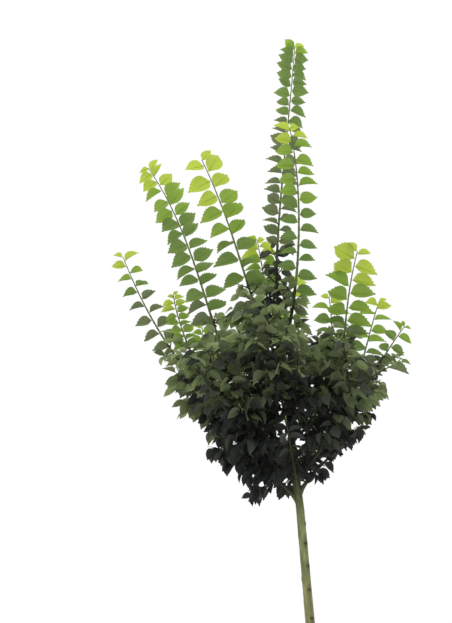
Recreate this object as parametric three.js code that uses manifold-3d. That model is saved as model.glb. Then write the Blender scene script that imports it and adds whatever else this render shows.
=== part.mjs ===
// A young nursery-grown elm on a clean stem: a thin trunk, boughs that leave it above head height,
// and a mass of twigs and leaves on each bough, most of which end in a long leafy summer shoot.
// Millimetres, +Z up. The origin is the middle of the flat cut at ground level.
import * as THREE from "three";
import { mergeVertices } from "three/addons/utils/BufferGeometryUtils.js";
import Module from "manifold-3d";

const wasm = await Module();
wasm.setup();

// Driving sizes of the trunk
const TRUNK_TOP = 2640; // where the leader's foliage takes over
const TRUNK_GIRTH_RADIUS = 18; // a metre up
const FORK_HEIGHT = 1950; // the lowest bough
const FORK_RADIUS = 14;
const TRUNK_TOP_RADIUS = 6.5;
const FLARE_RADIUS = 6; // what the root flare adds at the ground
const FLARE_HEIGHT = 50;
const FLARE_LOBES = 5;
const TRUNK_LEAN = -0.006; // sideways for each millimetre of height
const TRUNK_SWEEP = -0.03; // what is added above the fork
const TRUNK_SIDES = 12;
const TRUNK_RINGS = 22;

// Edges shorter than this are welded where twigs and leaves are fused.
const WELD = 0.05;

// Every piece stays this far off what it meets.
const GAP = 0.3;

// The round, dense part of the crown. It narrows downwards to a floor.
const CROWN_CENTRE = new THREE.Vector3(-50, 0, 2400);
const CROWN_WIDTH = new THREE.Vector3(430, 410, 0); // half of it
const CROWN_RISE = 330; // above the centre
const CROWN_DROP = 500; // below it, had it no floor
const CROWN_FLOOR = 1955;
const CROWN_TAPER = 0.56;
const TWIG_SHARE = [0.84, 1]; // how near its edge a side twig may come, from its centre
const LEAF_SHARE = 1.07; // and a leaf of it
const SPIRE_REACH = 58; // above its middle, side twigs climb a shoot within this distance of it

// Boughs. Each leaves the trunk at its start height in the direction azimuth (0 is +X, 90 is +Y), at
// the angle leave from the vertical, and settles within the distance settle to the angle lean. arch is
// what the lean gains towards the tip. length runs from the trunk's axis to the tip of its shoot, wood
// to where the bough enters its foliage, and bushy to where side twigs end and the shoot's single leaves
// begin. They are leaf long, last over that at the tip, and stand spacing apart in two rows, which are
// turned from -X and +X by rows.
const BOUGH_FIELDS =
  "name start azimuth leave settle lean arch length wood bushy radius leaf last spacing rows";
const BOUGHS = table(BOUGH_FIELDS, [
  ["left_low", 1965, 196, 30, 160, 68, -14, 380, 90, 340, 6.5, 72, 0.8, 34, -8],
  ["right_low", 2000, 348, 34, 160, 68, -16, 335, 80, 300, 8, 72, 0.8, 34, 12],
  ["front_low", 2000, 266, 40, 100, 72, -30, 350, 60, 310, 6.5, 72, 0.8, 34, 5],
  ["back_left_low", 2010, 108, 46, 130, 68, -20, 370, 90, 330, 6.5, 72, 0.8, 34, -16],
  ["back_right_low", 2040, 56, 42, 130, 66, -20, 370, 90, 330, 6.5, 72, 0.8, 34, 10],
  ["left_back_short", 2050, 143, 65, 340, 26, -28, 870, 140, 560, 8, 59, 0.7, 31, 25],
  ["right_tall", 2060, 328, 68, 300, -14, 33, 855, 130, 540, 8.5, 90, 0.95, 30, 10],
  ["left_front", 2075, 222, 68, 500, 35, -33, 785, 140, 600, 8.5, 46, 0.7, 20, -15],
  ["back_right", 2090, 36, 68, 500, -10, 24, 890, 140, 600, 8.5, 72, 0.8, 34, -20],
  ["left_tall_back", 2100, 160, 52, 340, 3, 26, 1530, 140, 700, 9, 87, 0.72, 33, -24],
  ["right_outer", 2110, 354, 68, 340, 10, 23, 640, 130, 500, 8, 52, 0.8, 28, 15],
  ["far_left", 2160, 177, 68, 460, 20, -6, 1060, 150, 620, 9, 55, 0.95, 30, 20],
  ["right_back_short", 2135, 52, 62, 420, 4, -16, 805, 130, 600, 8, 70, 0.8, 32, 6],
  ["right_front_low", 2190, 318, 68, 500, 62, 21, 520, 120, 440, 7, 65, 0.8, 34, -12],
  ["front_middle", 2165, 262, 64, 300, 20, 4, 560, 90, 490, 7.5, 76, 0.8, 34, 8],
  ["back_tall", 2270, 82, 58, 240, 8, 4, 760, 120, 500, 8.5, 77, 0.8, 35, -10],
  ["left_tall_front", 2470, 212, 39, 150, 10, 15, 870, 95, 330, 7.5, 94, 0.92, 39, -22],
  ["front_tall", 2500, 300, 41, 500, 0, -17, 930, 95, 250, 7.5, 80, 0.85, 34, 14],
  ["back_short", 2520, 115, 43, 120, 5, 9, 575, 85, 320, 6.5, 72, 0.8, 32, 20],
]);

// The leader carries on from the top of the trunk.
const LEADER = record(BOUGH_FIELDS, [
  "leader", TRUNK_TOP, 15, 0, 400, 12.5, -4, 1325, 0, 450, TRUNK_TOP_RADIUS, 70, 0.75, 24, 30,
]);

// Growth of wood and twigs
const CURVE_STEP = 10; // steps along a growing curve
const LIMB_SIDES = 6;
const LIMB_RING = 50;
const STEM_SIDES = 3;
const STEM_RING = 110;
const STEM_TIP_RADIUS = 1.6;
const TWIG_SIDES = 3;
const TWIG_RING = 130;
const TWIG_RADIUS = 2.8;
const TWIG_TIP_RADIUS = 1.4;
const TWIG_SPACING = 52; // between side twigs along a stem
const LOW_SPACING = 0.65; // what that is multiplied by at the crown's floor
const TWIG_LENGTH = 260; // the longest side twig
const TWIG_ANGLE = 58; // from its stem, in degrees
const TURN = 137.5; // from one side twig to the next, round the stem
const RISE = [0.5, -0.35]; // how side twigs turn up in the middle of the crown and at its floor
const TWIG_LEAF_SPACING = 74;

// Leaves: broad, short-stalked and pointed, with the widest place a little below the middle. A rim goes
// round from the stalk as a share of the length and a share of half the width.
const SHOOT_LEAF_WIDTH = 0.74; // of the length
const SHOOT_RIM = [[0, 0], [0.22, -0.86], [0.6, -0.9], [1, 0], [0.66, 0.82], [0.26, 0.94]];
const CROWN_LEAF = 140; // length in the dense crown, where one stands for a spray
const CROWN_LEAF_WIDTH = 0.82;
const CROWN_RIM = [[0, 0], [0.42, -1], [1, 0], [0.5, 1]];
const LEAF_PEAK = [0.4, 0]; // its thickest place, on the midrib
const LEAF_THICKNESS = 0.024; // there, over the length
const LEAF_FOLD = 0.1; // how far the two halves rise above the midrib, over the length
const LEAF_TRIES = 8; // ways in which a leaf is turned before it is left out
const LEAF_APART = 0.66; // between the middles of two leaves of a side twig, over their length
const SHOOT_HANG = 0.5; // how much a shoot's leaves hang, with 0 for level

// The dense heart of a mass round its stem
const CORE_RADIUS = 84;
const CORE_SIDES = 5;
const CORE_RING = 60;

// Room that each mass of foliage keeps to
const SPACE_MARGIN = 3; // to its neighbours' space
const LIMB_MARGIN = 3; // to wood that isn't its own

function record(fields, values) {
  return Object.fromEntries(fields.split(" ").map((field, i) => [field, values[i]]));
}

function table(fields, rows) {
  return rows.map((row) => record(fields, row));
}

// A seeded source of numbers from 0 to 1, the same on every run
function seeded(seed) {
  let state = seed >>> 0;
  return () => {
    state = (Math.imul(state, 1664525) + 1013904223) >>> 0;
    return state / 4294967296;
  };
}

function seedOf(name) {
  return [...name].reduce((sum, letter) => (sum * 31 + letter.charCodeAt(0)) >>> 0, 19);
}

const radians = THREE.MathUtils.degToRad;
const lerp = THREE.MathUtils.lerp;

// Trunk

function trunkRadius(height) {
  const flare = FLARE_RADIUS * Math.exp(-height / FLARE_HEIGHT);
  const perMetre = (TRUNK_GIRTH_RADIUS - FORK_RADIUS) / (FORK_HEIGHT - 1000);
  if (height < FORK_HEIGHT) return TRUNK_GIRTH_RADIUS + (1000 - height) * perMetre + flare;
  const share = (height - FORK_HEIGHT) / (TRUNK_TOP - FORK_HEIGHT);
  return lerp(FORK_RADIUS, TRUNK_TOP_RADIUS, share);
}

function trunkCentre(height) {
  const above = Math.max(0, height - FORK_HEIGHT);
  return new THREE.Vector3(TRUNK_LEAN * height + TRUNK_SWEEP * above, 0, height);
}

function trunkGeometry(spare) {
  const geometry = new THREE.CylinderGeometry(1, 1, 1, TRUNK_SIDES, TRUNK_RINGS);
  const p = geometry.attributes.position;
  for (let i = 0; i < p.count; i++) {
    // rings lie closer together in the flare
    const share = p.getY(i) + 0.5;
    const height = TRUNK_TOP * lerp(share * share, share, 0.35 + 0.65 * share);
    const angle = Math.atan2(p.getZ(i), p.getX(i));
    const middle = Math.hypot(p.getX(i), p.getZ(i)) < 0.5;
    const lobe = 1 + 0.16 * Math.cos(FLARE_LOBES * angle) * Math.exp(-height / FLARE_HEIGHT);
    const radius = middle ? 0 : trunkRadius(height) * lobe + spare;
    const centre = trunkCentre(height);
    p.setXYZ(i, centre.x + radius * Math.cos(angle), centre.y - radius * Math.sin(angle), height);
  }
  return geometry;
}

// Lines that wood grows along: points at an even spacing, the first of them at the distance from

// A bough from the trunk's axis to the tip of its shoot
function boughLine(bough) {
  const side = new THREE.Vector3(Math.cos(radians(bough.azimuth)), Math.sin(radians(bough.azimuth)), 0);
  const points = [trunkCentre(bough.start)];
  const steps = Math.round(bough.length / CURVE_STEP);
  const spacing = bough.length / steps;
  for (let i = 0; i < steps; i++) {
    const s = (i + 0.5) * spacing;
    const settling = (bough.leave - bough.lean) * Math.exp(-s / bough.settle);
    const angle = radians(bough.lean + settling + bough.arch * (s / bough.length) ** 2);
    const way = side.clone().multiplyScalar(Math.sin(angle)).setZ(Math.cos(angle));
    points.push(points[i].clone().addScaledVector(way, spacing));
  }
  return { points, spacing, from: 0 };
}

// A side twig that starts in the direction way and turns up as it grows
function twigLine(start, way, length, rise) {
  const points = [start.clone()];
  const heading = way.clone();
  const steps = Math.max(3, Math.round(length / CURVE_STEP));
  const spacing = length / steps;
  for (let i = 0; i < steps; i++) {
    heading.z += (rise * spacing) / TWIG_LENGTH;
    heading.normalize();
    points.push(points[i].clone().addScaledVector(heading, spacing));
  }
  return { points, spacing, from: 0 };
}

function at(line, s) {
  const { points, spacing, from } = line;
  const place = THREE.MathUtils.clamp((s - from) / spacing, 0, points.length - 1);
  const i = Math.min(points.length - 2, Math.floor(place));
  const point = points[i].clone().lerp(points[i + 1], place - i);
  const way = points[i + 1].clone().sub(points[i]).normalize();
  return { point, way };
}

// The stretch of a line from s0 to s1, with a point and a way at every ring of its wood
function stretch(line, s0, s1, ring) {
  const rings = Math.max(1, Math.round((s1 - s0) / ring));
  const places = [...Array(rings + 1).keys()].map((i) => at(line, lerp(s0, s1, i / rings)));
  const points = places.map((place) => place.point);
  return { points, ways: places.map((place) => place.way), spacing: (s1 - s0) / rings, from: s0 };
}

// Two directions across a limb that grows in the direction way
function frameOf(way) {
  const across = new THREE.Vector3(way.y, -way.x, 0);
  if (across.length() < 1e-3) across.set(1, 0, 0);
  across.normalize();
  return { across, over: new THREE.Vector3().crossVectors(way, across) };
}

// A tapering limb: a cylinder bent along a line, with a ring at each of its points
function limbGeometry(line, radiusAt, sides) {
  const rings = line.points.length - 1;
  const geometry = new THREE.CylinderGeometry(1, 1, 1, sides, rings);
  const p = geometry.attributes.position;
  for (let i = 0; i < p.count; i++) {
    const ring = Math.round((p.getY(i) + 0.5) * rings);
    const point = line.points[ring].clone();
    const { across, over } = frameOf(line.ways[ring]);
    const radius = radiusAt(line.from + ring * line.spacing);
    point.addScaledVector(across, p.getX(i) * radius).addScaledVector(over, -p.getZ(i) * radius);
    p.setXYZ(i, point.x, point.y, point.z);
  }
  return geometry;
}

// Leaves

// A thin blade with a folded underside, from the rim as it lies, and a roof over it with one peak
function leafGeometry(root, way, up, length, kind) {
  const { rim, width } = kind;
  const along = way.clone().normalize();
  const across = new THREE.Vector3().crossVectors(up, along).normalize();
  const face = new THREE.Vector3().crossVectors(along, across);
  const place = ([u, v, height]) => {
    const point = root.clone().addScaledVector(along, u * length);
    return point.addScaledVector(across, (v * width * length) / 2).addScaledVector(face, height * length);
  };
  const points = [...rim.map(([u, v]) => [u, v, LEAF_FOLD * Math.abs(v)]), [...LEAF_PEAK, LEAF_THICKNESS]];
  const faces = [];
  for (let i = 0; i < rim.length; i++) {
    faces.push(i, (i + 1) % rim.length, rim.length);
    if (i > 0 && i < rim.length - 1) faces.push(0, i + 1, i);
  }
  return new THREE.BufferGeometry().setFromPoints(points.map(place)).setIndex(faces);
}

// Solids

function solidOf(geometry) {
  geometry.deleteAttribute("normal");
  geometry.deleteAttribute("uv");
  const merged = mergeVertices(geometry, 1e-3);
  const solid = new wasm.Manifold(new wasm.Mesh({
    numProp: 3,
    vertProperties: merged.attributes.position.array,
    triVerts: new Uint32Array(merged.index.array),
  }));
  if (solid.volume() < 0) throw new Error("a piece is inside out");
  return solid;
}

function meshOf(name, solid, material) {
  const mesh = solid.getMesh();
  const geometry = new THREE.BufferGeometry();
  geometry.setAttribute("position", new THREE.BufferAttribute(mesh.vertProperties, 3));
  geometry.setIndex(new THREE.BufferAttribute(mesh.triVerts, 1));
  geometry.computeVertexNormals();
  const made = new THREE.Mesh(geometry, material);
  made.name = name;
  return made;
}

// Space: a point belongs to the mass whose own stem is nearest, and keeps off the wood of the others.

function placed(bough) {
  const line = boughLine(bough);
  const split = Math.ceil(bough.wood / line.spacing);
  const limb = line.points.slice(0, split + 1);
  return { bough, line, limb, stem: line.points.slice(split), core: [], middles: [] };
}

function distanceTo(points, p, every) {
  let best = Infinity;
  for (let i = 0; i < points.length; i += every) best = Math.min(best, points[i].distanceToSquared(p));
  return Math.sqrt(best);
}

// Whether a point lies in the heart of its mass
function inCore(own, p) {
  return own.core.some(({ point, radius }) => point.distanceTo(p) < radius);
}

function limbRadius(bough, s) {
  return lerp(bough.radius, STEM_TIP_RADIUS, Math.min(1, s / bough.length) ** 0.7);
}

function isFree(own, all, p) {
  const trunk = trunkCentre(THREE.MathUtils.clamp(p.z, 0, TRUNK_TOP));
  if (trunk.distanceTo(p) < trunkRadius(trunk.z) + LIMB_MARGIN) return false;
  const ownDistance = distanceTo(own.stem, p, 2);
  return all.every((other) => {
    const clearOfLimb = other.bough.radius + LIMB_MARGIN;
    if (other.bough.wood > 0 && distanceTo(other.limb, p, 1) < clearOfLimb) return false;
    return other === own || distanceTo(other.stem, p, 2) > ownDistance + SPACE_MARGIN;
  });
}

function inCrown(p, share = 1) {
  const q = p.clone().sub(CROWN_CENTRE);
  const high = q.z / (q.z > 0 ? CROWN_RISE : CROWN_DROP);
  const wide = 1 + CROWN_TAPER * Math.min(0, high);
  const across = Math.hypot(q.x / CROWN_WIDTH.x, q.y / CROWN_WIDTH.y) / wide;
  return p.z > CROWN_FLOOR && Math.hypot(across, high) < share;
}

// Whether a point lies close enough to its mass's stem to be in the spire round a shoot
function inSpire(own, p, spare = 0) {
  return p.z > CROWN_CENTRE.z && distanceTo(own.stem, p, 2) < SPIRE_REACH + spare;
}

// Foliage

const SHOOT_KIND = { rim: SHOOT_RIM, width: SHOOT_LEAF_WIDTH, inside: false };
const CROWN_KIND = { rim: CROWN_RIM, width: CROWN_LEAF_WIDTH, length: CROWN_LEAF, last: 1, inside: true };

// Whether a leaf keeps to its mass's space, and to the dense crown if it belongs to a side twig
function leafFits(geometry, own, all, root, inside) {
  const p = geometry.attributes.position;
  const corner = new THREE.Vector3();
  for (let i = 0; i < p.count; i++) {
    corner.fromBufferAttribute(p, i);
    if (corner.distanceTo(root) < 8) continue;
    const inReach = !inside || inCrown(corner, LEAF_SHARE) || inSpire(own, corner, SPIRE_REACH);
    if (!inReach || !isFree(own, all, corner)) return false;
    if (!isFree(own, all, corner.lerp(root, 0.5))) return false;
  }
  return true;
}

// Leaves alternate on the two sides that sideOf tells, more or less level, and hang by the share hang.
function leavesAlong(own, all, line, s0, s1, step, kind, hang, sideOf, random) {
  const parts = [];
  let side = random() < 0.5 ? 1 : -1;
  for (let s = s0; s < s1 + step / 2; s += step) {
    const { point, way } = at(line, Math.min(s, s1));
    const end = s + step / 2 >= s1;
    const young = lerp(1, kind.last, Math.max(0, (s - s0) / (s1 - s0) - 0.75) * 4);
    for (let i = 0; i < LEAF_TRIES; i++) {
      const flat = sideOf(way).multiplyScalar(end ? 0.3 * side : side);
      flat.applyAxisAngle(way, (random() - 0.5) * (1.2 + 1.2 * i));
      flat.addScaledVector(way, 0.35 + 0.25 * random());
      flat.z -= hang * (0.6 + 0.8 * random());
      flat.normalize();
      const up = new THREE.Vector3(random() - 0.5, random() - 0.5 + 0.4, 0.8);
      const length = kind.length * young * (0.88 + 0.26 * random()) * (1 - 0.07 * i);
      const middle = point.clone().addScaledVector(flat, 0.5 * length);
      if (kind.inside && inCore(own, middle)) continue;
      if (kind.inside && own.middles.some((m) => m.distanceTo(middle) < LEAF_APART * length)) continue;
      const geometry = leafGeometry(point, flat, up, length, kind);
      if (!leafFits(geometry, own, all, point, kind.inside)) continue;
      parts.push(solidOf(geometry));
      own.middles.push(middle);
      break;
    }
    side = -side;
  }
  return parts;
}

function levelSide(way) {
  const flat = new THREE.Vector3(-way.y, way.x, 0);
  if (flat.length() < 0.35) flat.set(0.94, 0.34, 0).cross(way);
  return flat.normalize();
}

// How low a point lies in the dense crown, from 0 in its middle to 1 at its floor
function lowness(p) {
  return THREE.MathUtils.clamp((CROWN_CENTRE.z - p.z) / (CROWN_CENTRE.z - CROWN_FLOOR), 0, 1);
}

// A side twig and its leaves. It stops where it would leave its space, and isn't grown if it comes out
// short or bare.
function sideTwig(own, all, start, stemWay, turn, length, random) {
  const { across } = frameOf(stemWay);
  const tilt = radians(TWIG_ANGLE + 16 * (random() - 0.5));
  const out = across.applyAxisAngle(stemWay, turn).multiplyScalar(Math.sin(tilt));
  const way = out.addScaledVector(stemWay, Math.cos(tilt));
  const low = lowness(start);
  const grown = twigLine(start, way, length, lerp(...RISE, low));
  let last = 1;
  const share = lerp(...TWIG_SHARE, random());
  const reaches = (p) => isFree(own, all, p) && (inCrown(p, share) || inSpire(own, p));
  while (last < grown.points.length - 1 && reaches(grown.points[last + 1])) last++;
  const reach = last * grown.spacing;
  if (reach < 40) return [];
  const line = stretch(grown, 0, reach, TWIG_RING);
  const radiusAt = (s) => lerp(TWIG_RADIUS, TWIG_TIP_RADIUS, s / reach);
  const hang = 0.35 + 0.9 * low;
  const places = [30, reach - 1, TWIG_LEAF_SPACING];
  const leaves = leavesAlong(own, all, line, ...places, CROWN_KIND, hang, levelSide, random);
  return leaves.length ? [solidOf(limbGeometry(line, radiusAt, TWIG_SIDES)), ...leaves] : [];
}

// The heart of a mass: a spindle round its stem, as thick as its space lets it be
function core(own, all, begins, ends) {
  const line = stretch(own.line, begins, ends, CORE_RING);
  const free = line.points.map((point, i) => {
    const { across, over } = frameOf(line.ways[i]);
    const fits = (radius) => [...Array(8).keys()].every((k) => {
      const turn = (k * Math.PI) / 4;
      const corner = point.clone().addScaledVector(across, radius * Math.cos(turn));
      corner.addScaledVector(over, radius * Math.sin(turn));
      return isFree(own, all, corner) && inCrown(corner, 0.85);
    });
    let radius = CORE_RADIUS;
    while (radius > 6 && !fits(radius)) radius -= 2;
    return radius;
  });
  const radii = free.map((radius, i) => {
    const least = Math.min(radius, free[i - 1] ?? radius, free[i + 1] ?? radius);
    const share = i / (free.length - 1);
    return Math.max(5, least * 0.92 * Math.min(1, 2.4 * Math.sin(Math.PI * share)));
  });
  const radiusAt = (s) => radii[Math.round((s - line.from) / line.spacing)];
  own.core = line.points.map((point, i) => ({ point, radius: radii[i] }));
  return solidOf(limbGeometry(line, radiusAt, CORE_SIDES));
}

// One mass: a stem, a core and side twigs on its older stretch, and single leaves on its young shoot
function foliage(own, all) {
  const { bough } = own;
  const random = seeded(seedOf(bough.name));
  const begins = bough.wood + GAP;
  const stem = stretch(own.line, begins, bough.length, STEM_RING);
  const parts = [solidOf(limbGeometry(stem, (s) => limbRadius(bough, s), STEM_SIDES))];
  parts.push(core(own, all, begins + 12, bough.bushy + 20));
  let turn = random() * 2 * Math.PI;
  for (let s = begins + 14; s < bough.bushy;) {
    const { point, way } = at(stem, s);
    const share = (s - begins) / (bough.bushy - begins);
    const length = TWIG_LENGTH * lerp(1, 0.5, share) * (0.8 + 0.4 * random());
    parts.push(...sideTwig(own, all, point, way, turn, length, random));
    turn += radians(TURN);
    s += TWIG_SPACING * lerp(1, LOW_SPACING, lowness(point)) * (0.8 + 0.4 * random());
  }
  const rows = radians(bough.rows);
  const rowWay = new THREE.Vector3(Math.cos(rows), Math.sin(rows), 0);
  const rowSide = (way) => rowWay.clone().projectOnPlane(way).normalize();
  const kind = { ...SHOOT_KIND, length: bough.leaf, last: bough.last };
  const places = [bough.bushy, bough.length - 1, bough.spacing];
  parts.push(...leavesAlong(own, all, stem, ...places, kind, SHOOT_HANG, rowSide, random));
  return wasm.Manifold.union(parts).simplify(WELD);
}

const bark = new THREE.MeshStandardMaterial({ color: 0x8b8f5c, roughness: 0.85, metalness: 0 });
const youngBark = new THREE.MeshStandardMaterial({ color: 0x5d5340, roughness: 0.8, metalness: 0 });
const crownLeaves = new THREE.MeshStandardMaterial({ color: 0x2f4a22, roughness: 0.6, metalness: 0 });
const shootLeaves = new THREE.MeshStandardMaterial({ color: 0x6f9a35, roughness: 0.6, metalness: 0 });

const SHOOT_SHARE = 0.45; // a mass with more of its length in its shoot counts as shoot foliage

// The largest body of a solid; a leaf that didn't catch on its twig is dropped
function largest(solid) {
  return solid.decompose().sort((a, b) => b.volume() - a.volume())[0];
}

function elm() {
  const group = new THREE.Group();
  const trunkRoom = solidOf(trunkGeometry(GAP));
  const all = [...BOUGHS, LEADER].map(placed);
  group.add(meshOf("trunk", solidOf(trunkGeometry(0)), bark));
  for (const own of all) {
    const { bough, line } = own;
    if (bough.wood > 0) {
      const limb = stretch(line, 0, bough.wood, LIMB_RING);
      const wood = solidOf(limbGeometry(limb, (s) => limbRadius(bough, s), LIMB_SIDES));
      group.add(meshOf("bough_" + bough.name, largest(wood.subtract(trunkRoom)), youngBark));
    }
    const leafy = (bough.length - bough.bushy) / bough.length;
    const leaves = leafy > SHOOT_SHARE ? shootLeaves : crownLeaves;
    group.add(meshOf("foliage_" + bough.name, largest(foliage(own, all)), leaves));
  }
  return group;
}

export default elm();
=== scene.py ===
"""A young elm on a clean stem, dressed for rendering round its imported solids.

Wood and leaves grow by the part's own rule, from the same named sizes, and are carried on to finer twigs
within the same reach. What is closer or finer than in the part stands under headings that say so. Lengths
are millimetres in the frame of the part, until a mesh is made.
"""

import math
from collections import defaultdict, namedtuple
from itertools import product

import bpy
import numpy as np
from mathutils import Matrix, Quaternion, Vector, noise


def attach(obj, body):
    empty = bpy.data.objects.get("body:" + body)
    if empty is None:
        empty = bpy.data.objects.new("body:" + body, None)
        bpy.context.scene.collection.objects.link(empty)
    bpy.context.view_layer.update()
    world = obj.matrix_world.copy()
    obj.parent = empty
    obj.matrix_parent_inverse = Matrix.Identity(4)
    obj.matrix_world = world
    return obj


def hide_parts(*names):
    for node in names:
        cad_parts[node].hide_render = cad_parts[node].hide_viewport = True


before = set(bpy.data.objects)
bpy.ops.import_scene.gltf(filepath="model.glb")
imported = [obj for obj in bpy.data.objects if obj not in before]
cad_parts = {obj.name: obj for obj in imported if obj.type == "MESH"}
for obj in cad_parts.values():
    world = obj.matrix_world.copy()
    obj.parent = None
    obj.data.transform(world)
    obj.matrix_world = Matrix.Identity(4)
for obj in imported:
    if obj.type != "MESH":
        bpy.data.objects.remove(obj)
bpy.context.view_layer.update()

METRES = 0.001

# Trunk, as the part has it
TRUNK_TOP = 2640  # where the leader takes over
GIRTH_HEIGHT = 1000
TRUNK_GIRTH_RADIUS = 18
FORK_HEIGHT = 1950  # the lowest bough
FORK_RADIUS = 14
TRUNK_TOP_RADIUS = 6.5
FLARE_RADIUS = 6  # what the root flare adds at the ground
FLARE_HEIGHT = 50
FLARE_LOBES = 5
FLARE_LOBE = 0.16  # how far a lobe stands out at the ground, over the radius
TRUNK_LEAN = -0.006  # sideways for each millimetre of height
TRUNK_SWEEP = -0.03  # what is added above the fork

# The round, dense part of the crown, as the part has it. It narrows downwards to a floor.
CROWN_CENTRE = Vector((-50, 0, 2400))
CROWN_WIDTH = (430, 410)  # half of it
CROWN_DROP = 500  # below the centre, had it no floor
CROWN_FLOOR = 1955

# On the left and on the right. Only the left is as in the part.
CROWN_RISE = (330, 270)  # above the centre
CROWN_TAPER = (0.56, 0.68)

# Hollows in the crown's top, where the sky shows between the shoots. The part has none. Each is its middle,
# half its width, and the height of its floor in the middle plane, from where that rises to the back.
HOLLOWS = ((76, 62, 2600), (-372, 65, 2525), (290, 62, 2500))
HOLLOW_RISE = 0.43

# Boughs. Each leaves the trunk at its start height in the direction azimuth (0 is +X, 90 is +Y), at the
# angle leave from the vertical, and settles within the distance settle to the angle lean. arch is what the
# lean gains towards the tip. length runs from the trunk's axis to the tip of its shoot, wood to where the
# bough enters its foliage, and bushy to where side twigs end and the shoot's single leaves begin. They are
# leaf long, last over that at the tip, and stand in two rows, which are turned from -X and +X by rows.
# spacing is the distance between them in the part. The table is the part's, but for the leaves' lengths of
# far_left, front_middle, front_tall and the leader, whose single leaves begin lower too.
FIELDS = "name start azimuth leave settle lean arch length wood bushy radius leaf last spacing rows".split()
BOUGHS = [dict(zip(FIELDS, row)) for row in [
    ("left_low", 1965, 196, 30, 160, 68, -14, 380, 90, 340, 6.5, 72, 0.8, 34, -8),
    ("right_low", 2000, 348, 34, 160, 68, -16, 335, 80, 300, 8, 72, 0.8, 34, 12),
    ("front_low", 2000, 266, 40, 100, 72, -30, 350, 60, 310, 6.5, 72, 0.8, 34, 5),
    ("back_left_low", 2010, 108, 46, 130, 68, -20, 370, 90, 330, 6.5, 72, 0.8, 34, -16),
    ("back_right_low", 2040, 56, 42, 130, 66, -20, 370, 90, 330, 6.5, 72, 0.8, 34, 10),
    ("left_back_short", 2050, 143, 65, 340, 26, -28, 870, 140, 560, 8, 59, 0.7, 31, 25),
    ("right_tall", 2060, 328, 68, 300, -14, 33, 855, 130, 540, 8.5, 90, 0.95, 30, 10),
    ("left_front", 2075, 222, 68, 500, 35, -33, 785, 140, 600, 8.5, 46, 0.7, 20, -15),
    ("back_right", 2090, 36, 68, 500, -10, 24, 890, 140, 600, 8.5, 72, 0.8, 34, -20),
    ("left_tall_back", 2100, 160, 52, 340, 3, 26, 1530, 140, 700, 9, 87, 0.72, 33, -24),
    ("right_outer", 2110, 354, 68, 340, 10, 23, 640, 130, 500, 8, 52, 0.8, 28, 15),
    ("far_left", 2160, 177, 68, 460, 20, -6, 1060, 150, 620, 9, 66, 0.95, 30, 20),
    ("right_back_short", 2135, 52, 62, 420, 4, -16, 805, 130, 600, 8, 70, 0.8, 32, 6),
    ("right_front_low", 2190, 318, 68, 500, 62, 21, 520, 120, 440, 7, 65, 0.8, 34, -12),
    ("front_middle", 2165, 262, 64, 300, 20, 4, 560, 90, 490, 7.5, 58, 0.8, 34, 8),
    ("back_tall", 2270, 82, 58, 240, 8, 4, 760, 120, 500, 8.5, 77, 0.8, 35, -10),
    ("left_tall_front", 2470, 212, 39, 150, 10, 15, 870, 95, 330, 7.5, 94, 0.92, 39, -22),
    ("front_tall", 2500, 300, 41, 500, 0, -17, 930, 95, 250, 7.5, 69, 0.95, 34, 14),
    ("back_short", 2520, 115, 43, 120, 5, 9, 575, 85, 320, 6.5, 72, 0.8, 32, 20),
    ("leader", TRUNK_TOP, 15, 0, 400, 12.5, -4, 1325, 0, 300, TRUNK_TOP_RADIUS, 70, 0.95, 24, 30),
]]

# Growth, as the part has it
CURVE_STEP = 10  # along a growing curve
LEAST_STEPS = 3
STEM_TIP_RADIUS = 1.6
LIMB_TAPER = 0.7  # the power by which a limb thins along its length
TWIG_RADIUS = 2.8
TWIG_TIP_RADIUS = 1.4
TWIG_LENGTH = 260  # the longest side twig
TWIG_TOP_LENGTH = 0.5  # over that, where side twigs end
TWIG_VARIES = (0.8, 1.2)  # times its length and the distance to the next
TWIG_ANGLE = 58  # from its stem, in degrees
TWIG_ANGLE_SPREAD = 16
TWIGS_FROM = 14  # from where the mass begins
SHORTEST_TWIG = 40
TURN = 137.5  # from one side twig to the next, round the stem
RISE = (0.5, -0.35)  # how side twigs turn up in the middle of the crown and at its floor
SPACE_MARGIN = 3  # between a mass's twigs and its neighbours' space
LIMB_MARGIN = 3  # between twigs or leaves and wood that isn't their own
LAST_LEAF_SIDEWAYS = 0.3  # how far a twig's last leaf still points sideways
LEAF_FORWARD = 0.35  # how far leaves point along their twig, over how far sideways
LEAF_FORWARD_SPREAD = 0.25
HANG_VARIES = (0.6, 1.4)
CROWN_HANG = 0.35  # in the middle of the crown, with 0 for level
LOW_HANG = 0.9  # what its floor adds to that
UPRIGHT = 0.35  # a twig whose way is less level than this counts as upright
UPRIGHT_SIDE = Vector((0.94, 0.34, 0))  # its leaves stand at a right angle to this
YOUNG_FROM = 0.75  # from this share of a shoot its leaves get smaller

# Growth that is closer than the part's, because its leaves have their real size
SPIRE_REACH = 52  # above the crown's middle, side twigs climb a shoot within this distance of it
TWIG_SPACING = 31  # between side twigs along a stem
LOW_SPACING = 0.45  # over that, at the crown's floor
TWIG_SHARE = (0.76, 0.96)  # how near the crown's edge a side twig may come, from its centre
LEAF_SHARE = 1.04  # and a leaf of it

# Finer twigs, by turns on the two sides of a side twig
SPRIG_SPACING = 27
SPRIGS_FROM = 26  # along their side twig
SPRIGS_SHORT_OF_TIP = 12
SPRIG_LENGTH = 118  # the longest
SPRIG_LENGTH_VARIES = (0.75, 1.1)
SPRIG_TIP_LENGTH = 45  # at the tip of the side twig
SPRIG_GAIN = 0.6  # for each millimetre back from there
SHORTEST_SPRIG = 25
SPRIG_ANGLE = 50
SPRIG_ANGLE_SPREAD = 20
SPRIG_ROLL = 0.9  # spread of their plane, in radians
SPRIG_RADIUS = 1.5  # the thickest
SPRIG_THINNER = 0.8  # the most over the side twig's radius
SPRIG_TIP_RADIUS = 0.8
SPRIG_FURTHER = 0.03  # how much nearer the crown's edge they may come

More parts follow.
